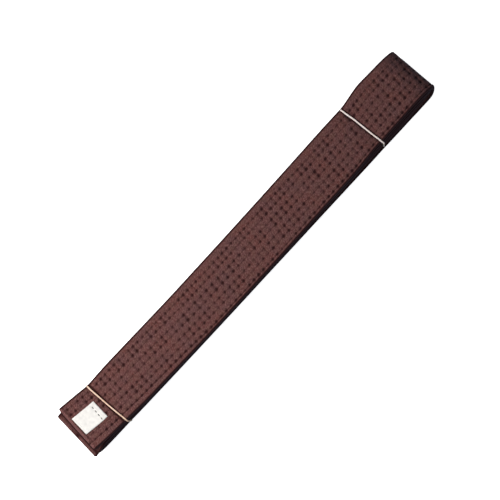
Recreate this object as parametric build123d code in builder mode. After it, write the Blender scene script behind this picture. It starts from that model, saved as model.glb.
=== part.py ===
"""A cotton martial arts belt folded into a hank of eight runs and held by two rubber bands.

Millimetres. +X runs along the hank to its big fold, the two free ends are at -X, and +Z is up.
The origin is under the middle of the hank, on the surface that it lies on.
Run 1 is the top one and run 8 the bottom one.
"""

from build123d import *
import math
import os

# ---- Belt ----
BELT_WIDTH = 40.0
BELT_THICKNESS = 3.4
COVER_WALL = 0.7  # the cover on each face of the core
COVER_EDGE = 0.8  # the cover round each long edge of the core
END_WALL = 1.2  # the cover turned in at each free end
PLY_NAMES = ("core_ply_lower", "core_ply_middle", "core_ply_upper")

# ---- Hank ----
HANK_LENGTH = 374.0
RUN_PITCH = 3.6  # from one run's centre to the next one's
RUN_COUNT = 8
RUN_ORDER = (1, 8, 5, 4, 3, 6, 7, 2)  # the runs in the order that the belt follows them
END_A_INSET = 5.0  # how far the upper free end stops short of the lower one
SMALL_FOLD_INSET = 1.0  # how far the folds at the label's end stop short of the lower free end

# ---- Rubber bands, and the waist that each one presses into the hank ----
BAND_WIDTH = 1.5
BAND_THICKNESS = 1.0
BAND_CLEARANCE = 0.15
BAND_BITE = 1.2  # how deep a band sinks into the top run and into the bottom run
BAND_CORNER = 0.3
WAIST_MARGIN = 0.5  # how much of a waist's floor shows on each side of its band
WAIST_RAMP = 3.0
BANDS = {"rubber_band_lower": (-152.2, 2.6), "rubber_band_upper": (129.0, 5.5)}  # x, degrees from square in plan

# ---- Stitching: three twin-needle passes and one seam row ----
NEEDLE_GAUGE = 4.76
PASS_SPACING = 10.2
FIRST_PASS_Y = 11.9
SEAM_ROW_Y = -16.4
THREAD_WIDTH = 0.5
THREAD_DEPTH = 0.3
ROW_END_GAP = 5.5
END_STITCH_INSET = 2.8
END_STITCH_LENGTH = 34.0

# ---- Label ----
LABEL_LENGTH = 20.7
LABEL_WIDTH = 15.8
LABEL_THICKNESS = 0.3
LABEL_X = -168.5
LABEL_Y = 1.9
LABEL_TURN = -9.3  # degrees in plan
LABEL_LIFT = 0.2  # the free flap's clearance above the belt
LABEL_HINGE_INSET = 5.3  # from the sewn end to the line that the flap turns on
LABEL_HINGE_GAP = 0.3  # each side of that line
LABEL_STITCH_INSET = 4.3
LABEL_STITCH_COUNT = 4
LABEL_STITCH_PITCH = 3.5
LABEL_STITCH_LENGTH = 1.8
LABEL_STITCH_HEIGHT = 0.12

# ---- Worked out from the dimensions above ----
HALF_THICKNESS = BELT_THICKNESS / 2
CORE_THICKNESS = BELT_THICKNESS - 2 * COVER_WALL
PLY_THICKNESS = CORE_THICKNESS / len(PLY_NAMES)
CORE_WIDTH = BELT_WIDTH - 2 * COVER_EDGE
STACK_HEIGHT = (RUN_COUNT - 1) * RUN_PITCH + BELT_THICKNESS
END_B_X = -HANK_LENGTH / 2
END_A_X = END_B_X + END_A_INSET
ROW_YS = [
    FIRST_PASS_Y - PASS_SPACING * twin + side * NEEDLE_GAUGE / 2
    for twin in range(3)
    for side in (1, -1)
] + [SEAM_ROW_Y]


def run_height(run):
    """The height of a run's middle."""
    return HALF_THICKNESS + (RUN_COUNT - run) * RUN_PITCH


def fold_radius(first, second):
    return abs(run_height(first) - run_height(second)) / 2


BIG_FOLD_X = HANK_LENGTH / 2 - fold_radius(1, 8) - HALF_THICKNESS


def fold_centre(index):
    """The centre of the fold after the run at this place in RUN_ORDER, as (x, z)."""
    first, second = RUN_ORDER[index], RUN_ORDER[index + 1]
    z = (run_height(first) + run_height(second)) / 2
    if index % 2 == 0:
        return BIG_FOLD_X, z
    # The fold between runs 6 and 7 sits inside the one between runs 5 and 8.
    outer = (8, 5) if {first, second} <= {5, 6, 7, 8} else (first, second)
    return END_B_X + SMALL_FOLD_INSET + fold_radius(*outer) + HALF_THICKNESS, z


def waist_points(start, end, outward, run, offset):
    """The points of an outer run from x = start to x = end, with a shallow waist at each band."""
    z = run_height(run) + outward * offset
    # The waist dies away through the run, so its inner face stays flat.
    sunk = z - outward * BAND_BITE * (offset + HALF_THICKNESS) / BELT_THICKNESS
    points = [(start, z)]
    for band_x, skew in sorted(BANDS.values(), reverse=start > end):
        way = 1 if end > start else -1
        half_floor = BAND_WIDTH / 2 + BELT_WIDTH / 2 * math.tan(math.radians(skew)) + WAIST_MARGIN
        half_waist = half_floor + WAIST_RAMP
        points += [
            (band_x - way * half_waist, z),
            (band_x - way * half_floor, sunk),
            (band_x + way * half_floor, sunk),
            (band_x + way * half_waist, z),
        ]
    return points + [(end, z)]


def draw_chain(offset, trim):
    """Draw the belt's whole way at an offset from its middle and return its two ends.

    A positive offset is on the face that ends up outside the hank. The free ends are cut back by trim.
    """
    starts_at = END_A_X + trim
    for index, run in enumerate(RUN_ORDER):
        way = 1 if index % 2 == 0 else -1
        last = index == RUN_COUNT - 1
        ends_at = END_B_X + trim if last else fold_centre(index)[0]
        z = run_height(run) + way * offset
        if run in (1, RUN_COUNT):
            points = waist_points(starts_at, ends_at, way, run, offset)
        else:
            points = [(starts_at, z), (ends_at, z)]
        Polyline(*points)
        if index == 0:
            first_end = points[0]
        if last:
            return first_end, points[-1]
        centre = fold_centre(index)
        rises = run_height(RUN_ORDER[index + 1]) > run_height(run)
        turns_left = rises == (way == 1)
        radius = fold_radius(run, RUN_ORDER[index + 1]) + (-offset if turns_left else offset)
        CenterArc(centre, radius, -90 if rises else 90, 180 if turns_left else -180)
        starts_at = centre[0]


def draw_layer(low, high, trim=0.0):
    """Draw the outline of the belt's layer between two offsets, in the lines that are open."""
    high_start, high_end = draw_chain(high, trim)
    low_start, low_end = draw_chain(low, trim)
    Line(high_start, low_start)
    Line(high_end, low_end)


def save(built, name):
    built.part.label = name
    export_step(built.part, f"parts/{name}.step")


NEEDLE_FACE = (HALF_THICKNESS - THREAD_DEPTH, HALF_THICKNESS)
BOBBIN_FACE = (-HALF_THICKNESS, THREAD_DEPTH - HALF_THICKNESS)


def end_stitch_places(end_x, run):
    """The centres of a free end's cross stitching on the run's two faces."""
    reach = HALF_THICKNESS - THREAD_DEPTH / 2
    return [(end_x + END_STITCH_INSET, 0, run_height(run) + side * reach) for side in (1, -1)]


def make_cover():
    """The cotton cover: hollow for the core, with channels that the threads lie in."""
    with BuildPart() as cover:
        with BuildSketch(Plane.XZ):
            with BuildLine():
                draw_layer(-HALF_THICKNESS, HALF_THICKNESS)
            make_face()
        extrude(amount=BELT_WIDTH / 2, both=True)
        with BuildSketch(Plane.XZ):
            with BuildLine():
                draw_layer(-CORE_THICKNESS / 2, CORE_THICKNESS / 2, END_WALL)
            make_face()
        extrude(amount=CORE_WIDTH / 2, both=True, mode=Mode.SUBTRACT)
        for row_y in ROW_YS:
            for face in (NEEDLE_FACE, BOBBIN_FACE):
                with BuildSketch(Plane.XZ.offset(-row_y)):
                    with BuildLine():
                        draw_layer(*face, ROW_END_GAP)
                    make_face()
                extrude(amount=THREAD_WIDTH / 2, both=True, mode=Mode.SUBTRACT)
        with Locations(*end_stitch_places(END_A_X, 1), *end_stitch_places(END_B_X, 2)):
            Box(THREAD_WIDTH, END_STITCH_LENGTH, THREAD_DEPTH, mode=Mode.SUBTRACT)
    save(cover, "cover")


def make_core():
    """The plies inside the cover, from the face inside the hank outwards."""
    for index, name in enumerate(PLY_NAMES):
        low = -CORE_THICKNESS / 2 + index * PLY_THICKNESS
        with BuildPart() as ply:
            with BuildSketch(Plane.XZ):
                with BuildLine():
                    draw_layer(low, low + PLY_THICKNESS, END_WALL)
                make_face()
            extrude(amount=CORE_WIDTH / 2, both=True)
        save(ply, name)


def make_row_threads():
    """Each row's needle thread on the outer face and its bobbin thread on the inner face."""
    for number, row_y in enumerate(ROW_YS, start=1):
        for name, face in (("needle_thread", NEEDLE_FACE), ("bobbin_thread", BOBBIN_FACE)):
            with BuildPart() as thread:
                with BuildSketch(Plane.XZ.offset(-row_y)):
                    with BuildLine():
                        draw_layer(*face, ROW_END_GAP)
                    make_face()
                extrude(amount=THREAD_WIDTH / 2, both=True)
            save(thread, f"{name}_{number}")


def make_end_stitches():
    """The cross stitching that closes each free end."""
    for name, end_x, run in (("end_stitch_a", END_A_X, 1), ("end_stitch_b", END_B_X, 2)):
        with BuildPart() as stitch:
            with Locations(*end_stitch_places(end_x, run)):
                Box(THREAD_WIDTH, END_STITCH_LENGTH, THREAD_DEPTH)
        save(stitch, name)


def label_plane(height):
    """A plane on the label, with its middle as the origin and +X towards its sewn end."""
    turn = math.radians(LABEL_TURN)
    return Plane(origin=(LABEL_X, LABEL_Y, height), x_dir=(math.cos(turn), math.sin(turn), 0))


def make_label():
    """The label's sewn end, its free flap, and the stitches that hold it."""
    hinge_at = LABEL_LENGTH / 2 - LABEL_HINGE_INSET
    hem_length = LABEL_HINGE_INSET - LABEL_HINGE_GAP
    with BuildPart() as hem:
        with BuildSketch(label_plane(STACK_HEIGHT)):
            with Locations((hinge_at + LABEL_HINGE_GAP + hem_length / 2, 0)):
                Rectangle(hem_length, LABEL_WIDTH)
        extrude(amount=LABEL_THICKNESS)
    save(hem, "label_sewn_end")
    flap_length = LABEL_LENGTH - LABEL_HINGE_INSET - LABEL_HINGE_GAP
    with BuildPart() as flap:
        with BuildSketch(label_plane(STACK_HEIGHT + LABEL_LIFT)):
            with Locations((hinge_at - LABEL_HINGE_GAP - flap_length / 2, 0)):
                Rectangle(flap_length, LABEL_WIDTH)
        extrude(amount=LABEL_THICKNESS)
    save(flap, "label_flap")
    with BuildPart() as stitches:
        with BuildSketch(label_plane(STACK_HEIGHT + LABEL_THICKNESS)):
            with Locations((LABEL_LENGTH / 2 - LABEL_STITCH_INSET, 0)):
                with GridLocations(0, LABEL_STITCH_PITCH, 1, LABEL_STITCH_COUNT):
                    Rectangle(THREAD_WIDTH, LABEL_STITCH_LENGTH)
        extrude(amount=LABEL_STITCH_HEIGHT)
    save(stitches, "label_stitching")


def make_bands():
    """The rubber bands, each a flat ring seated in its waist."""
    inner_height = STACK_HEIGHT - 2 * BAND_BITE + 2 * BAND_CLEARANCE
    for name, (band_x, skew_degrees) in BANDS.items():
        skew = math.radians(skew_degrees)
        inner_width = BELT_WIDTH / math.cos(skew) + 2 * BAND_CLEARANCE + BAND_WIDTH * math.tan(skew)
        across = Plane(
            origin=(band_x, 0, STACK_HEIGHT / 2),
            x_dir=(-math.sin(skew), math.cos(skew), 0),
            z_dir=(math.cos(skew), math.sin(skew), 0),
        )
        with BuildPart() as band:
            with BuildSketch(across):
                RectangleRounded(
                    inner_width + 2 * BAND_THICKNESS,
                    inner_height + 2 * BAND_THICKNESS,
                    BAND_CORNER + BAND_THICKNESS,
                )
                RectangleRounded(inner_width, inner_height, BAND_CORNER, mode=Mode.SUBTRACT)
            extrude(amount=BAND_WIDTH / 2, both=True)
        save(band, name)


os.makedirs("parts", exist_ok=True)
make_cover()
make_core()
make_row_threads()
make_end_stitches()
make_label()
make_bands()
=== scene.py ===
"""The look of a cotton martial arts belt, folded into a hank of eight runs and held by two rubber bands.

The belt is built in its own coordinates and then laid into the hank:
    s  the distance along the strip from its upper free end
    w  the distance across it, which is +Y everywhere
    h  the height out of its middle, positive on the face that ends up outside the hank
Lengths are in millimetres until make_mesh() turns them into metres.
"""

import math

import bpy
import numpy as np
from mathutils import Matrix, Vector


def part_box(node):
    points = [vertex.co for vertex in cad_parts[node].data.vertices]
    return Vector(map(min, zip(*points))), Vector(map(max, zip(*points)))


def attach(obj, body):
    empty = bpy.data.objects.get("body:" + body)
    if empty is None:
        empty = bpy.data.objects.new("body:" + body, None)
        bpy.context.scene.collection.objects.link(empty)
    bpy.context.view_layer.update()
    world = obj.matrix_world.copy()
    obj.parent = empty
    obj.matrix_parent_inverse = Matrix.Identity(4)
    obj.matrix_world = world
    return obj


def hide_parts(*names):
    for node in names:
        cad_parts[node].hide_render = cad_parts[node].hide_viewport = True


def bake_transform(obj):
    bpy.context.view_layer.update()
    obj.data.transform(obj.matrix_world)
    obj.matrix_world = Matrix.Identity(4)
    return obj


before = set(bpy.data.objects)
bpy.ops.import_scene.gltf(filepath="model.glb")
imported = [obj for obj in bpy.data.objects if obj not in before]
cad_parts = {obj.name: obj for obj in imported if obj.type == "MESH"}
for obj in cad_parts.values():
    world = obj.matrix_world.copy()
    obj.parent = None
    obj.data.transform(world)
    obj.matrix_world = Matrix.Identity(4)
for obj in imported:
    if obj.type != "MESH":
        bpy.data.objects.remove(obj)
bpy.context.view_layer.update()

MM = 0.001


def cad_box(node):
    """A CAD node's lowest and highest corners in millimetres."""
    low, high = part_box(node)
    return np.array(low) / MM, np.array(high) / MM


def cad_middle(node):
    """The middle of a CAD node's box in millimetres."""
    low, high = cad_box(node)
    return (low + high) / 2


# ---- The belt and the hank, from the frame ----
RUN_COUNT = 8
RUN_ORDER = (1, 8, 5, 4, 3, 6, 7, 2)  # the runs in the order that the belt follows them
ROW_COUNT = 7
COVER_LOW, COVER_HIGH = cad_box("cover")
HALF_WIDTH = (COVER_HIGH[1] - COVER_LOW[1]) / 2
STACK_HEIGHT = COVER_HIGH[2]
BELT_THICKNESS = cad_box("end_stitch_a")[1][2] - cad_box("end_stitch_a")[0][2]
HALF_THICKNESS = BELT_THICKNESS / 2
RUN_PITCH = (STACK_HEIGHT - BELT_THICKNESS) / (RUN_COUNT - 1)
END_STITCH_INSET = 2.8
END_A_X = cad_middle("end_stitch_a")[0] - END_STITCH_INSET
END_B_DRAWN_IN = 0.5  # how far short of its place in the CAD the lower free end lies
END_B_X = cad_middle("end_stitch_b")[0] - END_STITCH_INSET + END_B_DRAWN_IN
SMALL_FOLD_INSET = 1.0  # how far the folds at the label's end stop short of that
SMALL_FOLD_TIP_X = END_B_X + SMALL_FOLD_INSET
BAND_XS = {name: cad_middle(f"rubber_band_{name}")[0] for name in ("lower", "upper")}
ROW_YS = [cad_middle(f"needle_thread_{number}")[1] for number in range(1, ROW_COUNT + 1)]

# ---- How the folds and the stack settle ----
BIG_FOLD_DRAW = 8.0  # how much longer than round the fold end is drawn out
BIG_FOLD_REACH = 1.1  # how much further than the plain folds it reaches
SMALL_FOLD_DRAW = 2.5
BAND_SQUEEZE = 0.07  # the share of the stack's height that a band takes out of it
BAND_SQUEEZE_REACH = 6.0
BAND_CROWN = 0.06  # the further share that it takes at the long edges
BAND_CROWN_REACH = 9.0
BAND_PINCH = 0.75  # how much deeper the cloth dips right under a band
BAND_PINCH_REACH = 1.45
BAND_SKEWS = {"lower": math.radians(2.6), "upper": math.radians(4.4)}  # from square across the belt
BOW = 1.1  # how far the hank bows sideways
BOW_REACH = 165.0

# ---- Quilting ----
STITCH_PITCHES = (4.9, 4.9, 6.0, 6.0, 5.5, 5.5, 5.2)
PASS_PHASE = 0.31  # how far each pass is out of step with the one before, in stitches
HOLE_DEPTH = 0.6
HOLE_LENGTH = 1.1
HOLE_WIDTH = 0.85
HOLE_SLANT = -0.15  # how far along the belt a hole's sides lean for each millimetre across it
VALLEY_DEPTH = 0.04
VALLEY_WIDTH = 1.2
PUCKER_DEPTH = 0.28
PUCKER_LENGTH = 1.1
PUCKER_REACH = 2.2
DEEPEST = 1.05  # no hollow goes deeper than this, which leaves room for the core
INNER_QUILTING = 0.8  # how strongly the inner face is quilted, as a share of the outer face

# ---- The cover's lap, hems and ends ----
LAP_OUTSIDE = 0.55  # how far outside the seam row the lap's crease lies
LAP_RISE = 0.4
LAP_STEP = 0.18  # how gradual its rise is
LAP_FADE = 2.5  # how far in from the long edge it starts to fade
LAP_GROOVE = 0.45
LAP_GROOVE_WIDTH = 0.35
HEM_LENGTH = 2.3
HEM_RISE = 0.25
HEM_STEP = 0.25
HEM_CREASE = 0.4
HEM_CREASE_WIDTH = 0.6
END_ROUNDING = 1.1  # how far from each free end the strip starts to round off
END_THINNEST = 0.25  # its thickness right at the end, as a share
CORNER_ROUNDING = 2.0

# ---- Painted shade on the cloth, and paler hems, given as if a place were that deep in the quilting ----
SIDE_SHADE = 0.1  # painted shade on the strip's long sides
RIM_SHADE = 1.0  # painted shade: a narrow dark line where each face turns into a side
RIM_INSET = 0.6
RIM_REACH = 0.7
GAP_SHADE = 0.9  # painted shadow on run 2 beside the end of run 1 that lies on it
GAP_REACH = 0.8
HEM_PALING = 0.26  # paler along the raised hem at each free end
CLEAN_DEPTH = 0.08  # quilting shallower than this gets no painted shade
PINCH_SHADE = 1.5  # how much painted shade a band's crease gets for its depth

# ---- Mesh steps along the strip, and round it ----
FINE_STEP = 0.8
MEDIUM_STEP = 1.5
CORE_STEP = 2.5
COARSE_STEP = 9.0
FOLD_STEPS = 14
FINE_END = 12.0  # how much of the lower free end has fine rings
SHOWN_SMALL_FOLDS = (1, 3)  # places in RUN_ORDER whose folds show at the label's end
END_STEPS = np.array([0.0, 0.12, 0.35, 0.7])
INNER_PLACES = 15
EDGE_PLACES = 9


# ---------------------------------------------------------------- the strip's way through the hank


def run_height(run):
    """The height of a run's middle."""
    return HALF_THICKNESS + (RUN_COUNT - run) * RUN_PITCH


def fold_radius(first, second):
    """Half the height between two runs' middles."""
    return abs(run_height(first) - run_height(second)) / 2


def fold_tip_x(index):
    """Where the middle of the strip reaches furthest in the fold after this place in RUN_ORDER."""
    first, second = RUN_ORDER[index], RUN_ORDER[index + 1]
    radius = fold_radius(first, second)
    if index % 2 == 0:
        return COVER_HIGH[0] + BIG_FOLD_REACH - HALF_THICKNESS - fold_radius(1, 8) + radius
    outer = (8, 5) if {first, second} <= {5, 6, 7, 8} else (first, second)
    return SMALL_FOLD_TIP_X + HALF_THICKNESS + fold_radius(*outer) - radius


def fold_start_x(index):
    """Where the fold after this place in RUN_ORDER begins and ends."""
    way = 1 if index % 2 == 0 else -1
    draw = BIG_FOLD_DRAW if way == 1 else SMALL_FOLD_DRAW
    return fold_tip_x(index) - way * (fold_radius(RUN_ORDER[index], RUN_ORDER[index + 1]) + draw)


def strip_way():
    """Samples down the middle of the strip as columns x, z, outward x, outward z, and each run's start.

    A fold is half an ellipse, and every layer of the strip has the same ellipse grown by its height h.
    """
    rows, run_starts = [], {}
    x = END_A_X
    for index, run in enumerate(RUN_ORDER):
        way = 1 if index % 2 == 0 else -1
        z = run_height(run)
        run_starts[run] = len(rows)
        last = index == RUN_COUNT - 1
        end_x = END_B_X if last else fold_start_x(index)
        steps = max(2, int(abs(end_x - x)))
        rows += [(x + (end_x - x) * k / steps, z, 0, way) for k in range(steps)]
        if last:
            rows.append((end_x, z, 0, way))
            break
        following_z = run_height(RUN_ORDER[index + 1])
        radius = fold_radius(run, RUN_ORDER[index + 1])
        reach = radius + (BIG_FOLD_DRAW if way == 1 else SMALL_FOLD_DRAW)
        side = 1 if z > following_z else -1
        for angle in np.linspace(0, math.pi, 80, endpoint=False):
            out_x, out_z = way * math.sin(angle), side * math.cos(angle)
            place_x = end_x + reach * out_x
            place_z = (z + following_z) / 2 + radius * out_z
            rows.append((place_x, place_z, way * side * out_x, way * side * out_z))
        x = end_x
    return np.array(rows), run_starts


WAY, RUN_STARTS = strip_way()
WAY_S = np.concatenate([[0], np.cumsum(np.linalg.norm(np.diff(WAY[:, :2], axis=0), axis=1))])
STRIP_LENGTH = WAY_S[-1]
RUN_START_S = {run: WAY_S[start] for run, start in RUN_STARTS.items()}


def s_at(run, x):
    """The distance along the strip at which a run passes x."""
    index = RUN_ORDER.index(run)
    way = 1 if index % 2 == 0 else -1
    return RUN_START_S[run] + way * (x - WAY[RUN_STARTS[run], 0])


# Where the runs stray in plan, as (run, x, sideways, wider by, skew). Skew turns the strip in plan.
# An x past where a run ends is that far round the fold after it.
STRAYS = (
    (1, -182, 3.1, 0.5, 0.09),
    (1, -168, 1.7, 0.3, 0.07),
    (1, -155, 0.6, -0.2, 0.06),
    (1, -149, 0.5, -0.2, 0.04),
    (1, -130, 0.2, 0.6, 0.0),
    (1, -60, -0.3, 0.6, 0.0),
    (1, 20, 0.1, 0.6, 0.0),
    (1, 64, 0.5, 0.5, 0.0),
    (1, 102, 0.8, 0.5, 0.0),
    (1, 124, 1.4, -0.2, 0.0),
    (1, 131, 1.5, -0.1, 0.0),
    (1, 149, 2.6, 1.1, 0.0),
    (1, 166, 2.3, 0.6, 0.0),
    (1, 180, 1.9, 0.6, -0.01),
    (1, 193, 0.9, 0.8, -0.035),
    (8, 184, -1.9, 0.6, -0.03),
    (8, 176, -1.7, 0.5, -0.02),
    (8, 166, -1.5, 0.4, -0.01),
    (8, 130, -1.2, 0.2, 0.0),
    (8, 60, -0.5, 0.2, 0.0),
    (8, 0, -0.2, 0.2, 0.0),
    (8, -100, -0.1, 0.3, 0.0),
    (8, -150, -0.4, -0.1, 0.0),
    (5, -150, -0.3, -0.2, 0.02),
    (5, 0, 0.3, 0.0, 0.0),
    (5, 130, -0.4, -0.3, 0.0),
    (5, 150, -0.4, 0.0, 0.0),
    (5, 188, 0.0, 0.0, -0.03),
    (4, 150, 0.3, 0.0, 0.0),
    (4, 130, -0.2, -0.3, 0.0),
    (4, -20, -0.4, 0.0, 0.0),
    (4, -150, 0.1, -0.3, 0.03),
    (3, -150, 0.3, -0.3, 0.03),
    (3, -30, 0.1, 0.0, 0.0),
    (3, 130, 0.2, -0.3, 0.0),
    (3, 150, 1.1, 0.0, 0.0),
    (3, 188, 0.3, 0.0, -0.03),
    (6, 150, -0.8, 0.0, 0.0),
    (6, 130, 0.1, -0.3, 0.0),
    (6, 10, -0.3, 0.0, 0.0),
    (6, -150, 0.3, -0.3, 0.02),
    (7, -150, -0.2, -0.3, 0.02),
    (7, 40, 0.3, 0.0, 0.0),
    (7, 130, 0.0, -0.3, 0.0),
    (7, 150, -1.1, 0.0, 0.0),
    (7, 188, 0.4, 0.0, -0.03),
    (2, 160, 0.9, 0.1, 0.0),
    (2, 150, 0.8, 0.1, 0.0),
    (2, 130, 0.6, -0.2, 0.0),
    (2, 0, 0.2, 0.0, 0.0),
    (2, -150, 0.3, -0.3, 0.03),
    (2, -172, 1.0, 0.3, 0.055),
    (2, -187, -0.5, 1.2, 0.063),
)
STRAY_S = np.arange(0, STRIP_LENGTH + 1, 1.0)
STRAY_BLUR = 2.2
STRAY_BLUR_REACH = 8


def stray_curve(column):
    """One column of STRAYS along the strip, with its corners rounded."""
    at = [s_at(run, x) for run, x, *_ in STRAYS]
    values = [row[column] for row in STRAYS]
    order = np.argsort(at)
    curve = np.interp(STRAY_S, np.array(at)[order], np.array(values)[order])
    reach = np.arange(-STRAY_BLUR_REACH, STRAY_BLUR_REACH + 1)
    kernel = np.exp(-((reach / STRAY_BLUR) ** 2) / 2)
    padded = np.pad(curve, STRAY_BLUR_REACH, mode="edge")
    return np.convolve(padded, kernel / kernel.sum(), mode="valid")


SIDEWAYS, WIDER, SKEW = (stray_curve(column) for column in (2, 3, 4))


def near_band(x, reach):
    """1 at a band, falling smoothly to 0 away from it."""
    return sum(np.exp(-(((x - band_x) / reach) ** 2)) for band_x in BAND_XS.values())


def settle(x, y, z):
    """Squeeze the stack where the bands bite, and bow it a little sideways."""
    middle = STACK_HEIGHT / 2
    edge = np.minimum(np.abs(y) / HALF_WIDTH, 1.1) ** 3
    share = BAND_SQUEEZE * near_band(x, BAND_SQUEEZE_REACH)
    share = share + BAND_CROWN * near_band(x, BAND_CROWN_REACH) * edge
    bow = -BOW * (1 - (x / BOW_REACH) ** 2)
    return x, y + bow, middle + (z - middle) * (1 - share)


def lay(s, w, h):
    """The places in the hank, in millimetres, of points of the strip."""
    x, z, out_x, out_z = (np.interp(s, WAY_S, WAY[:, column]) for column in range(4))
    sideways, wider, skew = (np.interp(s, STRAY_S, curve) for curve in (SIDEWAYS, WIDER, SKEW))
    y = w * (1 + wider / HALF_WIDTH) + sideways
    x = x + out_x * h + skew * w
    return np.stack(settle(x, y, z + out_z * h), axis=-1)


# ---------------------------------------------------------------- quilting


def smooth_noise(seed, step, amount, length=STRIP_LENGTH):
    """Random values up to amount every step along a length, as a function that joins them smoothly."""
    rng = np.random.default_rng(seed)
    knots = rng.uniform(-amount, amount, int(length / step) + 4)

    def at(s):
        place = np.clip(np.asarray(s) / step, 0, len(knots) - 2.001)
        k = place.astype(int)
        t = place - k
        t = t * t * (3 - 2 * t)
        return knots[k] * (1 - t) + knots[k + 1] * t

    return at


# The two rows of a twin-needle pass share their phase and wander together.
ROW_PASSES = (0, 0, 1, 1, 2, 2, 3)
PASS_ROWS = ((0, 1), (2, 3), (4, 5), (6,))
PASS_WANDER = [smooth_noise(seed, step=38.0, amount=1.1) for seed in range(4)]
PASS_JITTER = [smooth_noise(10 + seed, step=5.3, amount=0.42) for seed in range(4)]
ROW_STRENGTH = [smooth_noise(20 + seed, step=5.1, amount=0.6) for seed in range(ROW_COUNT)]
ROW_SWAY = [smooth_noise(40 + seed, step=26.0, amount=0.25) for seed in range(ROW_COUNT)]

# The quilting drifts across the belt, as (x on run 1, twin rows' drift, seam row's drift).
DRIFTS = (
    (-184, 1.1, 2.2),
    (-153, 1.0, 2.05),
    (-122, 0.7, 1.7),
    (-92, 0.1, 0.75),
    (-62, -0.7, -0.5),
    (-25, -1.1, -0.8),
    (27, -0.7, -0.5),
    (80, -0.9, -0.7),
    (143, -0.8, -0.6),
    (165, -0.6, -0.5),
)
DRIFT_S = [s_at(1, x) for x, *_ in DRIFTS]
DRIFT_FADE = 40  # over this length past the last of them, LATER_DRIFT takes over
LATER_DRIFT = smooth_noise(70, step=60.0, amount=0.6)


def to_hole(row, s, across=0.0):
    """The distance along the strip from s to the row's nearest stitch hole."""
    pitch, seam_pass = STITCH_PITCHES[row], ROW_PASSES[row]
    wander = PASS_WANDER[seam_pass](s) + PASS_JITTER[seam_pass](s)
    place = (s + wander + HOLE_SLANT * across) / pitch + PASS_PHASE * seam_pass
    return (place - np.round(place)) * pitch


def row_y(row, s):
    """Where a stitch row runs across the belt."""
    drift = np.interp(s, DRIFT_S, [drifts[2 if row == 6 else 1] for drifts in DRIFTS])
    fade = np.clip((s - DRIFT_S[-1]) / DRIFT_FADE, 0, 1)
    return ROW_YS[row] + ROW_SWAY[row](s) + drift * (1 - fade) + LATER_DRIFT(s) * fade


RIPPLE = [smooth_noise(60 + seed, step=2.6, amount=0.05) for seed in range(9)]


def ripple(s, w):
    """Fine cross ribs that change over a few millimetres across the strip."""
    lane = np.clip((w / HALF_WIDTH + 1) / 2 * (len(RIPPLE) - 1), 0, len(RIPPLE) - 1.001)
    k = lane.astype(int)
    t = lane - k
    lanes = np.stack([rib(s) for rib in RIPPLE])
    low = np.take_along_axis(lanes, k[None], 0)[0]
    high = np.take_along_axis(lanes, k[None] + 1, 0)[0]
    return low * (1 - t) + high * t


def quilt(s, w):
    """How far the cover's face lies from flat, down into the belt where negative."""
    s, w = np.broadcast_arrays(s, w)
    height = ripple(s, w)
    for row in range(ROW_COUNT):
        across = w - row_y(row, s)
        along = to_hole(row, s, across)
        strength = 1 + ROW_STRENGTH[row](s)
        hole = np.exp(-((along / HOLE_LENGTH) ** 2) - (across / HOLE_WIDTH) ** 2)
        valley = np.exp(-((across / VALLEY_WIDTH) ** 2))
        height = height - strength * (HOLE_DEPTH * hole + VALLEY_DEPTH * valley)
    for rows in PASS_ROWS:
        middle = np.mean([row_y(row, s) for row in rows], axis=0)
        half_gauge = (row_y(rows[0], s) - row_y(rows[-1], s)) / 2
        outside = np.maximum(np.abs(w - middle) - half_gauge, 0)
        along = to_hole(rows[0], s, w - middle)
        strength = 1 + ROW_STRENGTH[rows[-1]](s + 3.0)
        reach = np.exp(-((outside / PUCKER_REACH) ** 2))
        height = height - strength * PUCKER_DEPTH * np.exp(-((along / PUCKER_LENGTH) ** 2)) * reach
    return np.maximum(height, -DEEPEST)


def lap(s, w):
    """The turned-in edge of the cover: one more layer outboard of a sharp crease."""
    out = row_y(ROW_COUNT - 1, s) - LAP_OUTSIDE - w
    step = 1 / (1 + np.exp(-out / LAP_STEP))
    fades = np.clip((HALF_WIDTH + 0.2 + w) / LAP_FADE, 0, 1)
    return LAP_RISE * step * fades - LAP_GROOVE * np.exp(-(((out + 0.15) / LAP_GROOVE_WIDTH) ** 2))


def pinch(s, w):
    """The crease under each rubber band on the top and bottom runs."""
    crease = 0
    for run in (1, RUN_COUNT):
        for band, band_x in BAND_XS.items():
            way = 1 if run == 1 else -1
            away = s - s_at(run, band_x) + way * math.tan(BAND_SKEWS[band]) * w
            crease = crease + np.exp(-((away / BAND_PINCH_REACH) ** 2))
    return -BAND_PINCH * crease


def hem(s):
    """The folded-in cloth at each free end, and the crease that its cross stitching pulls in."""
    end = np.minimum(s, STRIP_LENGTH - s)
    rise = HEM_RISE / (1 + np.exp((end - HEM_LENGTH) / HEM_STEP))
    return rise - HEM_CREASE * np.exp(-(((end - END_STITCH_INSET) / HEM_CREASE_WIDTH) ** 2))


# ---------------------------------------------------------------- meshes


def make_mesh(name, points, faces, uvs=None, material=None, smooth=True, painted_shades=None):
    """A mesh object from points in millimetres. The last argument gives each point's painted shade, in the
    same units as depths in the quilting; below zero the point is paler.
    """
    mesh = bpy.data.meshes.new(name)
    mesh.from_pydata([tuple(p) for p in np.asarray(points) * MM], [], [tuple(f) for f in faces])
    if uvs is not None:
        layer = mesh.uv_layers.new(name="StripUV")
        layer.data.foreach_set("uv", np.asarray(uvs, np.float32).ravel())
    if painted_shades is not None:
        layer = mesh.attributes.new("painted_shade", "FLOAT", "POINT")
        layer.data.foreach_set("value", np.asarray(painted_shades, np.float32).ravel())
    if smooth:
        mesh.polygons.foreach_set("use_smooth", [True] * len(mesh.polygons))
    mesh.validate()
    mesh.update()
    piece = bpy.data.objects.new(name, mesh)
    bpy.context.scene.collection.objects.link(piece)
    if material is not None:
        piece.data.materials.append(material)
    return piece


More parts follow.
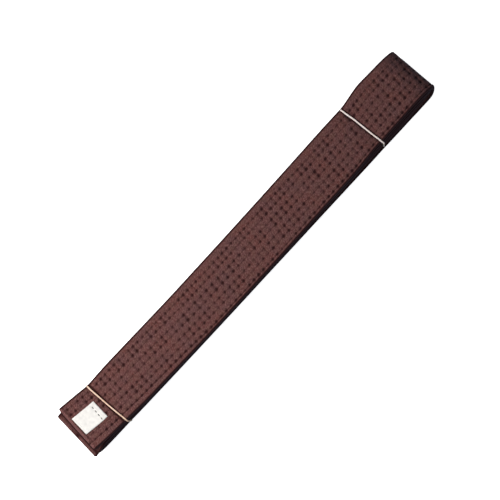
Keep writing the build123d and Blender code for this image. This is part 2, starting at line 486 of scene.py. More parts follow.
def tube_faces(rings, around, closed=False):
    """Quads of a tube of rings, and flat caps on an open one."""
    quads = []
    for i in range(rings if closed else rings - 1):
        a, b = i * around, (i + 1) % rings * around
        for j in range(around):
            k = (j + 1) % around
            quads.append((a + j, b + j, b + k, a + k))
    if closed:
        return quads
    first = tuple(range(around))
    last = tuple(reversed(range((rings - 1) * around, rings * around)))
    return [first, *quads, last]


def strip_uvs(along, around_length, rings, around):
    """UVs in centimetres for tube_faces of an open tube: u along the strip and v round it."""
    edges = np.append(around_length, 2 * around_length[-1] - around_length[-2]) / 10
    u = np.asarray(along) / 10
    uvs = [(u[0], edges[j]) for j in range(around)]
    for i in range(rings - 1):
        for j in range(around):
            uvs += [(u[i], edges[j]), (u[i + 1], edges[j]), (u[i + 1], edges[j + 1]), (u[i], edges[j + 1])]
    uvs += [(u[-1], edges[j]) for j in reversed(range(around))]
    return uvs


def spread(start, end, step):
    """Even stations from start up to but not including end, about a step apart."""
    count = max(1, round((end - start) / step))
    return list(start + (end - start) * np.arange(count) / count)


def stations(fine, medium, coarse):
    """Places along the strip for mesh rings: fine where the hank shows its face, coarse where it hides."""
    found = []
    for index, run in enumerate(RUN_ORDER):
        start = RUN_START_S[run]
        step = {1: fine, RUN_COUNT: medium}.get(run, coarse)
        if index == RUN_COUNT - 1:
            fine_start = STRIP_LENGTH - FINE_END
            found += spread(start, fine_start, step) + spread(fine_start, STRIP_LENGTH, fine)
            break
        fold_s = s_at(run, fold_start_x(index))
        fold_end = RUN_START_S[RUN_ORDER[index + 1]]
        shown = run == 1 or index in SHOWN_SMALL_FOLDS
        fold_step = fine if shown else (fold_end - fold_s) / FOLD_STEPS
        found += spread(start, fold_s, step) + spread(fold_s, fold_end, fold_step)
    return np.array(found + [STRIP_LENGTH])


FACE_EDGE = 1.5  # how far in from each long edge the strip rounds off
EDGE_POWER = 0.8  # under 1 makes the rounding squarer
LAP_PLACES_END = -13.4  # the lap's crease wanders across the belt up to here


def face_places():
    """Places across the outer face: close together at the rows, wider between them."""
    flat = HALF_WIDTH - FACE_EDGE
    found = {-flat, flat}
    for y in ROW_YS:
        found |= {round(y + step, 3) for step in (-1.15, -0.5, 0.0, 0.5, 1.15)}
    found |= set(np.arange(-flat, LAP_PLACES_END, 0.5).round(3))
    places = sorted(p for p in found if -flat <= p <= flat)
    filled = [places[0]]
    for place in places[1:]:
        gap = place - filled[-1]
        if gap > 1.2:
            pieces = math.ceil(gap / 1.0)
            filled += [filled[-1] + gap * k / pieces for k in range(1, pieces)]
        if place - filled[-1] > 0.2:
            filled.append(place)
    return np.array(filled)


def profile():
    """The strip's cross-section as w, h, and the share of the outer and the inner quilting."""
    outer = face_places()
    inner = np.linspace(outer[-1], outer[0], INNER_PLACES)
    angles = np.linspace(0, math.pi, EDGE_PLACES + 2)[1:-1]
    bulge = FACE_EDGE * np.sin(angles) ** EDGE_POWER
    fall = np.sign(np.cos(angles)) * np.abs(np.cos(angles)) ** EDGE_POWER
    w = np.concatenate([outer, outer[-1] + bulge, inner, outer[0] - bulge])
    h = np.concatenate([np.ones(len(outer)), fall, -np.ones(len(inner)), -fall])
    return w, h * HALF_THICKNESS, np.clip(h, 0, 1), np.clip(-h, 0, 1)


def shades(s, w, outer, inner):
    """Painted shade on the sides, the rims and the gap, and paler hems, as depths in the quilting."""
    rim = np.exp(-(((HALF_WIDTH - RIM_INSET - np.abs(w)) / RIM_REACH) ** 2))
    gap_s = s_at(2, END_A_X - 0.4) - (SKEW[0] - SKEW[-1]) * w
    gap = np.exp(-(((s - gap_s) / GAP_REACH) ** 2)) * inner[None]
    end = np.minimum(s, STRIP_LENGTH - s)
    paler_hem = np.exp(-(((end - HEM_LENGTH / 2) / 0.8) ** 2)) * outer[None]
    side = (1 - np.maximum(outer, inner))[None]
    return SIDE_SHADE * side + (RIM_SHADE * rim + GAP_SHADE * gap - HEM_PALING * paler_hem)


def cover_stations():
    """The rings' places along the strip, close together where each free end rounds off."""
    s = stations(FINE_STEP, MEDIUM_STEP, COARSE_STEP)
    s = np.concatenate([END_STEPS, s[s > END_ROUNDING][:-1]])
    return np.concatenate([s[s < STRIP_LENGTH - END_ROUNDING], STRIP_LENGTH - END_STEPS[::-1]])


def make_cover(material):
    """The one cotton strip, with its quilting, lap, hems and creases."""
    w, h, outer, inner = profile()
    s = cover_stations()
    grid_s, grid_w = np.meshgrid(s, w, indexing="ij")
    end = np.minimum(np.minimum(grid_s, STRIP_LENGTH - grid_s) / END_ROUNDING, 1)
    roundness = END_THINNEST + (1 - END_THINNEST) * np.sqrt(1 - (1 - end) ** 2)
    relief = quilt(grid_s, grid_w)
    fold = lap(grid_s, grid_w)
    ends = hem(grid_s)
    dip = pinch(grid_s, grid_w)
    face = np.maximum(relief + fold + dip, -DEEPEST)
    grid_h = h[None] * roundness + (outer - inner)[None] * ends
    grid_h += outer[None] * face - inner[None] * INNER_QUILTING * relief
    # Painted shade: darker down in the stitch holes, the lap's groove, the hem creases and the bands'
    # creases, and on the sides, rims and gap.
    painted_shades = np.clip(-relief - CLEAN_DEPTH, 0, 1) * (outer + INNER_QUILTING * inner)[None]
    painted_shades += np.clip(-fold, 0, 1) * outer[None] + np.clip(-ends, 0, 1)
    # Painted shade along each band's crease.
    painted_shades += np.clip(-dip, 0, 1) * PINCH_SHADE * outer[None]
    painted_shades += shades(grid_s, grid_w, outer, inner)
    corner = HALF_WIDTH - CORNER_ROUNDING * (1 - end) ** 2
    grid_w = np.clip(grid_w, -corner, corner)
    points = lay(grid_s, grid_w, grid_h).reshape(-1, 3)
    around = np.concatenate([[0], np.cumsum(np.hypot(np.diff(w), np.diff(h)))])
    faces = tube_faces(len(s), len(w))
    uvs = strip_uvs(s, around, len(s), len(w))
    piece = make_mesh("belt_cover", points, faces, uvs, material, painted_shades=painted_shades)
    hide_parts("cover")
    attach(piece, "belt")
    return piece


PLY_HEIGHTS = {  # each ply's faces
    "core_ply_lower": (-0.5, -0.19),
    "core_ply_middle": (-0.15, 0.15),
    "core_ply_upper": (0.19, 0.5),
}
PLY_INSET = 2.2  # from the strip's long edges
PLY_END_INSET = 1.5
PLY_PINCH = 0.4  # how much of a band's crease reaches the plies, as a share


def make_core(material):
    """Three plies inside the cover, laid as the cover is."""
    s = stations(CORE_STEP, CORE_STEP, COARSE_STEP)
    s = s[(s > PLY_END_INSET) & (s < STRIP_LENGTH - PLY_END_INSET)]
    half = HALF_WIDTH - PLY_INSET
    for node, (low, high) in PLY_HEIGHTS.items():
        w = np.array([-half, 0, half, half, 0, -half])
        h = np.array([high, high, high, low, low, low])
        grid_s, grid_w = np.meshgrid(s, w, indexing="ij")
        grid_h = h[None] + PLY_PINCH * pinch(grid_s, grid_w)
        points = lay(grid_s, grid_w, grid_h).reshape(-1, 3)
        faces = tube_faces(len(s), len(w))
        piece = make_mesh(node + "_canvas", points, faces, material=material, smooth=False)
        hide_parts(node)
        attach(piece, "belt")


THREAD_RADIUS = 0.19
THREAD_STEP = 0.8
THREAD_SINK = 0.35  # how far a thread goes down into a hole
THREAD_SINK_LENGTH = 0.55
ROW_END_GAP = 4.4  # from a free end to where the rows start
END_STITCH_REACH = 17.0  # how far the cross stitching goes each side of the middle
END_STITCH_STEP = 0.4
END_STITCH_PITCH = 2.8
END_STITCH_DIP = 0.3


def make_row_threads(material):
    """The needle thread on the outer face and the bobbin thread on the inner face of each row."""
    for row in range(ROW_COUNT):
        for name, side in (("needle_thread", 1), ("bobbin_thread", -1)):
            fine = THREAD_STEP if side == 1 else COARSE_STEP
            s = stations(fine, fine, COARSE_STEP)
            s = s[(s > ROW_END_GAP) & (s < STRIP_LENGTH - ROW_END_GAP)]
            y = row_y(row, s)
            sink = THREAD_SINK * np.exp(-((to_hole(row, s) / THREAD_SINK_LENGTH) ** 2))
            h = HALF_THICKNESS + quilt(s, y) * (1 if side == 1 else INNER_QUILTING) - sink
            if side == 1:
                h = h + lap(s, y)
            turn = np.linspace(0, 2 * math.pi, 5 if side == 1 else 4, endpoint=False)
            grid_w = y[:, None] + THREAD_RADIUS * np.cos(turn)[None]
            grid_h = side * (h[:, None] + THREAD_RADIUS * np.sin(turn)[None])
            points = lay(np.broadcast_to(s[:, None], grid_w.shape), grid_w, grid_h).reshape(-1, 3)
            number = row + 1
            faces = tube_faces(len(s), len(turn))
            piece = make_mesh(f"{name}_{number}_seam", points, faces, material=material)
            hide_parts(f"{name}_{number}")
            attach(piece, "belt")


def make_end_stitches(material):
    """Cross stitching over both faces of each free end."""
    w = np.arange(-END_STITCH_REACH, END_STITCH_REACH + 0.01, END_STITCH_STEP)
    turn = np.linspace(0, 2 * math.pi, 6, endpoint=False)
    dip = END_STITCH_DIP * np.cos(w / END_STITCH_PITCH * 2 * math.pi) ** 8
    ends = {"end_stitch_a": END_STITCH_INSET, "end_stitch_b": STRIP_LENGTH - END_STITCH_INSET}
    for node, middle_s in ends.items():
        points, faces = [], []
        for side in (1, -1):
            h = HALF_THICKNESS + hem(np.full(len(w), middle_s)) + 0.5 * quilt(middle_s, w) - dip + 0.1
            grid_s = middle_s + THREAD_RADIUS * np.cos(turn)[None] + 0 * w[:, None]
            grid_h = side * (h[:, None] + THREAD_RADIUS * np.sin(turn)[None])
            ring = lay(grid_s, np.broadcast_to(w[:, None], grid_s.shape), grid_h).reshape(-1, 3)
            start = len(points)
            points += list(ring)
            faces += [tuple(start + k for k in face) for face in tube_faces(len(w), len(turn))]
        piece = make_mesh(node + "_seam", points, faces, material=material)
        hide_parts(node)
        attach(piece, "belt")


# ---------------------------------------------------------------- rubber bands

BAND_WIDTHS = {"lower": 1.1, "upper": 1.2}
BAND_THICKNESS = 0.95
BAND_SINK = 0.35  # how deep a band lies in the crease that it makes
BAND_OVERLAP = 0.1  # how far its inner face is pressed into the cloth
BAND_FLAT_INSET = 0.9  # how far in from the strip's long edges a band starts to turn
BAND_RINGS = 260
BAND_SIDES = 16
BAND_SQUARENESS = 0.55  # the power of its section's outline: 1 is round, and 0 is square
BAND_WOBBLE_SEEDS = {"lower": 203, "upper": 212}
BAND_WOBBLE = 0.28
BAND_WOBBLE_LENGTH = 280  # the length of the way round that the wobble counts in
BAND_WOBBLE_FADE = 12  # it fades over this length where the way closes


def band_way(name):
    """The middle line of a band round the hank, just outside the cloth."""
    band_x = BAND_XS[name]
    reach = BAND_THICKNESS / 2 - BAND_OVERLAP
    across = np.linspace(-1, 1, 33) * (HALF_WIDTH - BAND_FLAT_INSET)
    seat = np.full(len(across), HALF_THICKNESS - BAND_SINK)
    top = lay(np.full(len(across), s_at(1, band_x)), across, seat)
    bottom = lay(np.full(len(across), s_at(RUN_COUNT, band_x)), -across, seat)
    top[:, 2] += reach
    bottom[:, 2] -= reach
    bottom[:, 2] = np.maximum(bottom[:, 2], BAND_THICKNESS / 2 + 0.02)
    sides = []
    for start, end in ((top[-1], bottom[0]), (bottom[-1], top[0])):
        out = np.sign(start[1]) * (HALF_WIDTH + reach) + settle(band_x, 0, 0)[1]
        share = np.linspace(0, 1, 17)[:, None]
        side = start + (end - start) * share
        side[:, 1] = out
        sides.append(side[1:-1])
    line = np.concatenate([top, sides[0], bottom, sides[1]])
    line[:, 0] = band_x - np.tan(BAND_SKEWS[name]) * line[:, 1]
    return line


def resample_loop(line, count):
    """Even points round a closed line, with its corners rounded off."""
    closed = np.vstack([line, line[:1]])
    along = np.concatenate([[0], np.cumsum(np.linalg.norm(np.diff(closed, axis=0), axis=1))])
    at = np.linspace(0, along[-1], count, endpoint=False)
    even = np.stack([np.interp(at, along, closed[:, k]) for k in range(3)], axis=1)
    for _ in range(3):
        even = (np.roll(even, 1, 0) + 2 * even + np.roll(even, -1, 0)) / 4
    return even


def make_band(name, material):
    """A rubber band of a rounded square section, stretched round the hank."""
    line = resample_loop(band_way(name), BAND_RINGS)
    wobble = smooth_noise(BAND_WOBBLE_SEEDS[name], step=18.0, amount=BAND_WOBBLE, length=300)
    t = np.arange(len(line)) / len(line) * BAND_WOBBLE_LENGTH
    line[:, 0] += wobble(t) * np.minimum(1, np.minimum(t, BAND_WOBBLE_LENGTH - t) / BAND_WOBBLE_FADE)
    ahead = np.roll(line, -1, 0) - np.roll(line, 1, 0)
    ahead /= np.linalg.norm(ahead, axis=1)[:, None]
    side = np.tile([1.0, 0.0, 0.0], (len(line), 1))
    side -= ahead * (side * ahead).sum(1)[:, None]
    side /= np.linalg.norm(side, axis=1)[:, None]
    out = np.cross(side, ahead)
    corners = []
    for angle in np.linspace(0, 2 * math.pi, BAND_SIDES, endpoint=False):
        c, s = math.cos(angle), math.sin(angle)
        across = math.copysign(abs(c) ** BAND_SQUARENESS, c) * BAND_WIDTHS[name] / 2
        up = math.copysign(abs(s) ** BAND_SQUARENESS, s) * BAND_THICKNESS / 2
        corners.append(line + side * across + out * up)
    points = np.stack(corners, axis=1).reshape(-1, 3)
    faces = tube_faces(len(line), BAND_SIDES, closed=True)
    piece = make_mesh(f"rubber_band_{name}_loop", points, faces, material=material)
    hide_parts(f"rubber_band_{name}")
    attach(piece, f"band_{name}")


# ---------------------------------------------------------------- label

LABEL_TURN = math.radians(-7.9)
LABEL_SKEW = -0.08  # its ends are not cut quite square
LABEL_LENGTH = 20.7
LABEL_WIDTH = 15.8
LABEL_LEAF = 0.13  # its thickness
LABEL_FOLD = 0.42  # how far the rounded fold at its free end reaches
LABEL_LOWER_LEAF = 0.1  # the height of the lower leaf's middle above the cloth
LABEL_PUFF = 0.45  # how much further apart the leaves are at the fold
LABEL_PUFF_LENGTH = 12
LABEL_WAVE = 0.12
LABEL_MIDDLE = np.array([-168.5, 1.85])
LABEL_HINGE_AT = 5.05  # from the label's middle towards its sewn end
LABEL_STITCH_AT = 6.45
LABEL_STITCH_COUNT = 4
LABEL_STITCH_PITCH = 3.5
LABEL_STITCH_LENGTH = 2.0
LABEL_STITCH_SLANT = 0.067
LABEL_STITCH_SHIFT = -0.8  # how far the row lies from the middle of the label's width
LABEL_STITCH_RADIUS = 0.27
LABEL_BEND = 0.08  # how much straighter along the belt the sewn end lies than the flap


def label_place(along, across, up):
    """Points of the label: along towards its sewn end, across it, and up from the cloth, in millimetres."""
    along, across, up = np.broadcast_arrays(along, across, up)
    along = along + LABEL_SKEW * across
    x = LABEL_MIDDLE[0] + along * math.cos(LABEL_TURN) - across * math.sin(LABEL_TURN)
    y = LABEL_MIDDLE[1] + along * math.sin(LABEL_TURN) + across * math.cos(LABEL_TURN)
    y = y + LABEL_BEND * np.maximum(along - LABEL_STITCH_AT, 0)
    share = BAND_SQUEEZE * near_band(x, BAND_SQUEEZE_REACH)
    ground = STACK_HEIGHT - (STACK_HEIGHT / 2) * share
    return np.stack([x, y, ground + up], axis=-1)


def label_profile():
    """The middle of the folded ribbon from its upper sewn end round the fold to its lower one."""
    half = LABEL_LENGTH / 2
    fold_start = -half + LABEL_FOLD
    leaf = np.linspace(half, fold_start, 40)
    rise = 0.25 + LABEL_PUFF * (1 - np.clip((leaf + half) / LABEL_PUFF_LENGTH, 0, 1)) ** 2
    rise = np.where(leaf > LABEL_STITCH_AT - 0.9, 0.2, rise)
    rise = rise - 0.12 * np.exp(-(((leaf - LABEL_STITCH_AT) / 0.45) ** 2))
    angles = np.linspace(0, math.pi, 9)[1:-1]
    top_z = LABEL_LOWER_LEAF + LABEL_LEAF / 2 + rise
    low_z = np.full(len(leaf), LABEL_LOWER_LEAF)
    middle = (top_z[-1] + low_z[-1]) / 2
    radius = (top_z[-1] - low_z[-1]) / 2
    along = np.concatenate([leaf, fold_start - LABEL_FOLD * np.sin(angles), leaf[::-1]])
    up = np.concatenate([top_z, middle + radius * np.cos(angles), low_z[::-1]])
    return along, up


def label_faces(rows, columns):
    """Faces of two grids of points, the ribbon's two sides, and of the rim that joins them."""
    faces = []
    for layer, flip in ((0, False), (rows * columns, True)):
        for i in range(rows - 1):
            for j in range(columns - 1):
                a = layer + i * columns + j
                quad = (a, a + columns, a + columns + 1, a + 1)
                faces.append(quad[::-1] if flip else quad)
    rim = [(i, 0) for i in range(rows)] + [(rows - 1, j) for j in range(1, columns)]
    rim += [(i, columns - 1) for i in range(rows - 2, -1, -1)] + [(0, j) for j in range(columns - 2, 0, -1)]
    for (i, j), (k, m) in zip(rim, rim[1:] + rim[:1]):
        a, b = i * columns + j, k * columns + m
        faces.append((b, a, a + rows * columns, b + rows * columns))
    return faces


def make_label(material):
    """A satin ribbon folded in half: two leaves joined by a rounded fold at the free end."""
    along, up = label_profile()
    across = np.linspace(-LABEL_WIDTH / 2, LABEL_WIDTH / 2, 25)
    normal = np.stack([-np.gradient(up), np.gradient(along)], axis=1)
    normal /= -np.linalg.norm(normal, axis=1)[:, None]
    wave = LABEL_WAVE * np.sin(across[None] / 3.1 + along[:, None] / 6)
    free = np.clip((LABEL_HINGE_AT - along[:, None]) / 10, 0, 1)
    grid = []
    for side in (LABEL_LEAF / 2, -LABEL_LEAF / 2):
        a = along + normal[:, 0] * side
        u = up + normal[:, 1] * side
        grid.append(label_place(a[:, None], across[None], u[:, None] + wave * free + LABEL_WAVE * free))
    rows, columns = grid[0].shape[:2]
    points = np.concatenate([g.reshape(-1, 3) for g in grid])
    faces = label_faces(rows, columns)
    ribbon = np.concatenate([[0], np.cumsum(np.hypot(np.diff(along), np.diff(up)))])
    uvs = []
    for face in faces:
        for corner in face:
            i, j = divmod(corner % (rows * columns), columns)
            uvs.append((ribbon[i] / 10, across[j] / 10))
    piece = make_mesh("size_label", points, faces, uvs, material)
    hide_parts("label_sewn_end", "label_flap")
    low = label_place(LABEL_HINGE_AT + 0.5, 0, 0.25) * MM
    high = label_place(LABEL_HINGE_AT - 1.2, 0, 0.25) * MM
    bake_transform(piece)
    return piece


def make_label_stitching(material):
    """A row of dark stitches across the label."""
    points, faces = [], []
    turn = np.linspace(0, 2 * math.pi, 8, endpoint=False)
    for number in range(LABEL_STITCH_COUNT):
        middle = (number - (LABEL_STITCH_COUNT - 1) / 2) * LABEL_STITCH_PITCH + LABEL_STITCH_SHIFT
        t = np.linspace(-1, 1, 9)
        across = middle + t * LABEL_STITCH_LENGTH / 2
        up = 0.36 + 0.16 * (1 - t**2) - 0.25 * t**8
        thick = LABEL_STITCH_RADIUS * np.sqrt(np.clip(1.02 - t**8, 0.02, 1))
        line = LABEL_STITCH_AT + LABEL_STITCH_SLANT * across
        grid_along = line[:, None] + thick[:, None] * np.cos(turn)[None]
        grid_up = up[:, None] + thick[:, None] * np.sin(turn)[None]
        grid_across = np.broadcast_to(across[:, None], grid_up.shape)
        start = len(points)
        points += list(label_place(grid_along, grid_across, grid_up).reshape(-1, 3))
        faces += [tuple(start + k for k in face) for face in tube_faces(len(t), len(turn))]
    piece = make_mesh("label_stitches", points, faces, material=material)
    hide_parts("label_stitching")
    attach(piece, "belt")


# ---------------------------------------------------------------- materials


class Nodes:
    """A short way to build a material's node tree."""

    def __init__(self, name):
        self.material = bpy.data.materials.new(name)
        self.material.use_nodes = True
        self.tree = self.material.node_tree
        self.shader = self.tree.nodes["Principled BSDF"]

    def add(self, kind, inputs=None, **settings):
        node = self.tree.nodes.new(kind)
        for key, value in settings.items():
            setattr(node, key, value)
        for key, value in (inputs or {}).items():
            if isinstance(value, bpy.types.NodeSocket):
                self.tree.links.new(value, node.inputs[key])
            else:
                node.inputs[key].default_value = value
        return node

    def math(self, operation, a, b=0.0):
        return self.add("ShaderNodeMath", {0: a, 1: b}, operation=operation).outputs[0]

    def mix(self, factor, a, b, blend="MIX"):
        node = self.add("ShaderNodeMix", data_type="RGBA", blend_type=blend)
        for key, value in ((0, factor), (6, a), (7, b)):
            if isinstance(value, bpy.types.NodeSocket):
                self.tree.links.new(value, node.inputs[key])
            else:
                node.inputs[key].default_value = value
        return node.outputs[2]

    def noise(self, vector, scale, detail=3.0, roughness=0.55):
        inputs = {"Vector": vector, "Scale": scale, "Detail": detail, "Roughness": roughness}
        return self.add("ShaderNodeTexNoise", inputs).outputs["Fac"]

    def span(self, value, low, high, to_low=0.0, to_high=1.0):
        inputs = {"Value": value, "From Min": low, "From Max": high, "To Min": to_low, "To Max": to_high}
        return self.add("ShaderNodeMapRange", inputs).outputs[0]

    def bump(self, height, distance, strength=1.0, under=None):
        inputs = {"Height": height, "Distance": distance, "Strength": strength}
        if under is not None:
            inputs["Normal"] = under
        return self.add("ShaderNodeBump", inputs).outputs[0]

    def finish(self, **inputs):
        for key, value in inputs.items():
            socket = self.shader.inputs[key.replace("_", " ")]
            if isinstance(value, bpy.types.NodeSocket):
                self.tree.links.new(value, socket)
            else:
                socket.default_value = value
        return self.material


def srgb(red, green, blue):
    """A colour given as 0 to 255, as linear RGBA."""
    linear = [c / 255 / 12.92 if c <= 10 else ((c / 255 + 0.055) / 1.055) ** 2.4 for c in (red, green, blue)]
    return (*linear, 1.0)


def weave_height(nodes, uv, pitch_cm):
    """A twill of crossing yarns, 0 to 1, from UVs in centimetres."""
    split = nodes.add("ShaderNodeSeparateXYZ", {0: uv})
    turn = 2 * math.pi / pitch_cm
    total = nodes.math("ADD", split.outputs[0], split.outputs[1])
    rest = nodes.math("SUBTRACT", split.outputs[0], split.outputs[1])
    one = nodes.math("SINE", nodes.math("MULTIPLY", total, turn))
    two = nodes.math("SINE", nodes.math("MULTIPLY", rest, turn * 0.62))
    crossed = nodes.math("MULTIPLY", one, two)
    return nodes.span(nodes.math("ADD", crossed, nodes.math("MULTIPLY", one, 0.7)), -1.7, 1.7)


def cotton_material():
    """Dark brown cotton drill, with painted shade down in the stitching and creases, on the long sides,
    along the rims and in the gap under run 1's end, and paler hems at the free ends.
    """
    nodes = Nodes("brown_cotton")
    uv = nodes.add("ShaderNodeUVMap", uv_map="StripUV").outputs[0]
    painted_shade = nodes.add("ShaderNodeAttribute", attribute_name="painted_shade").outputs["Fac"]
    split = nodes.add("ShaderNodeSeparateXYZ", {0: uv})
    with_twill = nodes.math("ADD", split.outputs[0], split.outputs[1])
    over_twill = nodes.math("SUBTRACT", split.outputs[0], split.outputs[1])
    long_way = nodes.math("MULTIPLY", with_twill, 0.4)
    fleck_way = nodes.add("ShaderNodeCombineXYZ", {0: long_way, 1: over_twill})
    fleck = nodes.noise(fleck_way.outputs[0], 11.0, 3.0, 0.6)
    fine_fleck = nodes.noise(fleck_way.outputs[0], 24.0, 2.0, 0.6)
    patch = nodes.noise(uv, 0.8, 3.0, 0.5)
    twill = nodes.math("SINE", nodes.math("MULTIPLY", over_twill, 2 * math.pi / 0.1))
    ribs = nodes.math("SINE", nodes.math("MULTIPLY", split.outputs[0], 2 * math.pi / 0.13))
    weave = nodes.span(nodes.math("ADD", twill, nodes.math("MULTIPLY", ribs, 0.4)), -1.4, 1.4)
    stain = nodes.noise(uv, 2.6, 2.0, 0.5)
    colour = nodes.mix(nodes.span(patch, 0.32, 0.68), srgb(97, 52, 47), srgb(84, 54, 56))
    colour = nodes.mix(nodes.span(stain, 0.45, 0.7, 0.0, 0.6), colour, srgb(88, 61, 50))
    colour = nodes.mix(nodes.span(fleck, 0.42, 0.66, 0.0, 0.85), colour, srgb(138, 99, 95))
    colour = nodes.mix(nodes.span(fine_fleck, 0.52, 0.32, 0.0, 0.8), colour, srgb(46, 19, 18))
    colour = nodes.mix(nodes.span(weave, 0.0, 0.5, 0.3, 0.0), colour, srgb(50, 26, 25))
    # Painted shade: the cloth goes towards near-black maroon as its painted shade attribute rises.
    colour = nodes.mix(nodes.span(painted_shade, 0.06, 0.62, 0.0, 0.97), colour, srgb(42, 11, 9))
    # Below zero, the same attribute makes the hems at the free ends paler.
    colour = nodes.mix(nodes.span(painted_shade, 0.0, -0.5, 0.0, 0.6), colour, srgb(146, 98, 97))
    rough = nodes.span(fleck, 0.3, 0.7, 0.8, 0.95)
    normal = nodes.bump(fleck, 0.0003, 0.5)
    normal = nodes.bump(weave, 0.00012, 0.8, normal)
    return nodes.finish(
        Base_Color=colour,
        Roughness=rough,
        Normal=normal,
        Specular_IOR_Level=0.12,
        Sheen_Weight=0.18,
        Sheen_Roughness=0.5,
        Sheen_Tint=(0.6, 0.66, 0.85, 1),
    )


def canvas_material():
    """Plain undyed canvas."""
    nodes = Nodes("core_canvas")
    place = nodes.add("ShaderNodeTexCoord").outputs["Object"]
    grain = nodes.noise(place, 900.0)
    colour = nodes.mix(grain, srgb(196, 184, 160), srgb(222, 212, 190))
    return nodes.finish(Base_Color=colour, Roughness=0.9, Normal=nodes.bump(grain, 0.0002, 0.5))


def thread_material(name, dark, light):
    """Spun thread with fine twist lines."""
    nodes = Nodes(name)
    place = nodes.add("ShaderNodeTexCoord").outputs["Object"]
    wave = {"Vector": place, "Scale": 900.0, "Distortion": 2.0}
    twist = nodes.add("ShaderNodeTexWave", wave, bands_direction="DIAGONAL")
    fuzz = nodes.noise(place, 1400.0)
    colour = nodes.mix(nodes.math("MULTIPLY", twist.outputs["Fac"], fuzz), dark, light)
    normal = nodes.bump(twist.outputs["Fac"], 0.00005, 0.5)
    return nodes.finish(Base_Color=colour, Roughness=0.8, Normal=normal, Specular_IOR_Level=0.2)


def satin_material():
    """Woven white satin with fine ribs across the ribbon."""
    nodes = Nodes("label_satin")
    uv = nodes.add("ShaderNodeUVMap", uv_map="StripUV").outputs[0]
    weave = weave_height(nodes, uv, 0.03)
    cloud = nodes.noise(uv, 3.0, 3.0)
    colour = nodes.mix(nodes.span(cloud, 0.3, 0.7), srgb(214, 214, 211), srgb(234, 233, 229))
    normal = nodes.bump(weave, 0.00004, 0.5)
    return nodes.finish(Base_Color=colour, Roughness=0.5, Normal=normal, Sheen_Weight=0.1)


def rubber_material(name, dark, light):
    """Slightly dusty natural rubber, paler and darker in soft clouds."""
    nodes = Nodes(name)
    place = nodes.add("ShaderNodeTexCoord").outputs["Object"]
    cloud = nodes.noise(place, 160.0, 4.0)
    dust = nodes.noise(place, 1500.0, 2.0)
    colour = nodes.mix(nodes.span(cloud, 0.32, 0.68), dark, light)
    rough = nodes.span(dust, 0.3, 0.7, 0.42, 0.62)
    normal = nodes.bump(dust, 0.00006, 0.4)
    return nodes.finish(Base_Color=colour, Roughness=rough, Normal=normal, Subsurface_Weight=0.08)


def floor_material():
    """Pale studio paper, lit a little from within so that it stays pale under soft light."""
    nodes = Nodes("studio_floor")
    place = nodes.add("ShaderNodeTexCoord").outputs["Object"]
    cloud = nodes.noise(place, 2.0)
    colour = nodes.mix(cloud, (0.9, 0.9, 0.9, 1), (0.94, 0.94, 0.94, 1))
    return nodes.finish(Base_Color=colour, Roughness=0.9, Emission_Color=(1, 1, 1, 1), Emission_Strength=0.9)


# ---------------------------------------------------------------- stage

VIEW_TARGET = Vector((0.0044, -0.0013, STACK_HEIGHT * MM))
VIEW_ELEVATION = math.radians(85.0)
VIEW_ROLL = math.radians(47.4)  # how far +X points up from the picture's right
VIEW_DISTANCE = 1.5
VIEW_WIDTH = 0.3727  # what the picture spans at the top of the hank
FLOOR_Z = -0.45  # just under the lap on the bottom run
SWEEP_FLAT = 1.2  # the radius of the flat floor, in metres
SWEEP_CURVE = 1.5
SWEEP_HEIGHT = 4.0


def make_camera():
    """A long lens almost straight above, with the hank running to the picture's upper right."""
    data = bpy.data.cameras.new("camera")
    data.lens = data.sensor_width * VIEW_DISTANCE / VIEW_WIDTH
    data.clip_start, data.clip_end = 0.01, 20
    camera = bpy.data.objects.new("camera", data)
    bpy.context.scene.collection.objects.link(camera)
    back = Vector((0, -math.cos(VIEW_ELEVATION), math.sin(VIEW_ELEVATION)))
    level_right = Vector((1, 0, 0))
    level_up = back.cross(level_right)
    right = level_right * math.cos(VIEW_ROLL) - level_up * math.sin(VIEW_ROLL)
    up = back.cross(right)
    turn = Matrix((right, up, back)).transposed()
    camera.matrix_world = Matrix.Translation(VIEW_TARGET + back * VIEW_DISTANCE) @ turn.to_4x4()
    bpy.context.scene.camera = camera


def add_light(name, place, target, size, power, colour):
    """A round lamp that the camera doesn't see."""
    data = bpy.data.lights.new(name, "AREA")
    data.shape = "DISK"
    data.size = size
    data.energy = power
    data.color = colour
    lamp = bpy.data.objects.new(name, data)
    lamp.visible_camera = False
    bpy.context.scene.collection.objects.link(lamp)
    lamp.location = place
    lamp.rotation_euler = (Vector(target) - Vector(place)).to_track_quat("-Z", "Y").to_euler()


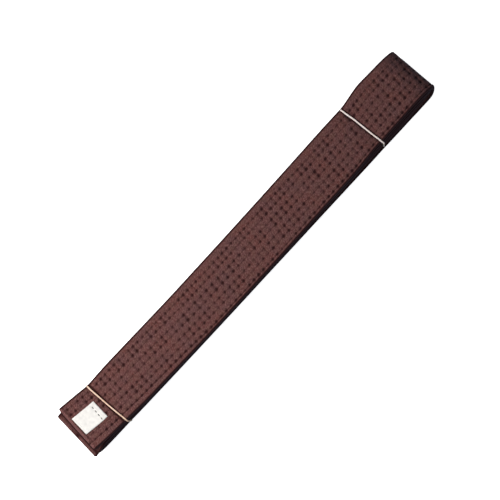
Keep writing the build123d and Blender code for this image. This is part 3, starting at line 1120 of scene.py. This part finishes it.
def make_sweep():
    """A pale floor that curves up into a wall all round. It shows to the camera but lights nothing."""
    outline = [(SWEEP_FLAT, 0.0)]
    for angle in np.linspace(0.15, math.pi / 2, 9):
        radius = SWEEP_FLAT + SWEEP_CURVE * math.sin(angle)
        outline.append((radius, SWEEP_CURVE - SWEEP_CURVE * math.cos(angle)))
    outline.append((SWEEP_FLAT + SWEEP_CURVE, SWEEP_HEIGHT))
    turns = 64
    points = [(0, 0, FLOOR_Z)]
    for radius, height in outline:
        for turn in np.linspace(0, 2 * math.pi, turns, endpoint=False):
            x, y = radius * math.cos(turn), radius * math.sin(turn)
            points.append((x / MM, y / MM, height / MM + FLOOR_Z))
    faces = [(0, 1 + k, 1 + (k + 1) % turns) for k in range(turns)]
    for ring in range(len(outline) - 1):
        start = 1 + ring * turns
        for k in range(turns):
            after = (k + 1) % turns
            faces.append((start + k, start + turns + k, start + turns + after, start + after))
    sweep = make_mesh("floor", points, faces, material=floor_material())
    sweep.visible_diffuse = False
    sweep.visible_glossy = False
    sweep.visible_shadow = False


def make_world():
    """Soft light from all round, stronger from above."""
    world = bpy.data.worlds.new("studio")
    world.use_nodes = True
    tree = world.node_tree
    direction = tree.nodes.new("ShaderNodeTexCoord")
    split = tree.nodes.new("ShaderNodeSeparateXYZ")
    ramp = tree.nodes.new("ShaderNodeMapRange")
    tree.links.new(direction.outputs["Generated"], split.inputs[0])
    tree.links.new(split.outputs["Z"], ramp.inputs["Value"])
    for key, value in (("From Min", -0.2), ("From Max", 1.0), ("To Min", 0.13), ("To Max", 0.27)):
        ramp.inputs[key].default_value = value
    background = tree.nodes["Background"]
    background.inputs[0].default_value = (0.82, 0.91, 1.0, 1)
    tree.links.new(ramp.outputs[0], background.inputs[1])
    bpy.context.scene.world = world


def make_stage():
    """The floor, the light from all round, and three lamps."""
    make_sweep()
    make_world()
    add_light("softbox", (-1.2, 0.3, 1.3), (0, 0, 0), 0.6, 9.5, (1.0, 0.97, 0.94))
    add_light("key", (-0.3, 0.25, 0.5), (0.2, 0, 0), 0.16, 3.1, (1.0, 0.94, 0.9))
    add_light("fill", (0.4, -1.4, 0.4), (0, 0, 0), 0.8, 3.2, (0.92, 0.96, 1.0))
    bpy.context.scene.view_settings.view_transform = "Standard"


make_camera()
make_stage()
make_cover(cotton_material())
make_core(canvas_material())
brown_thread = thread_material("brown_thread", srgb(60, 30, 28), srgb(94, 56, 51))
make_row_threads(brown_thread)
make_end_stitches(brown_thread)
make_band("lower", rubber_material("tan_rubber", srgb(228, 186, 158), srgb(248, 216, 190)))
make_band("upper", rubber_material("pale_rubber", srgb(244, 222, 212), srgb(254, 243, 237)))
make_label(satin_material())
make_label_stitching(thread_material("label_thread", srgb(48, 46, 46), srgb(96, 92, 92)))

bpy.context.view_layer.update()
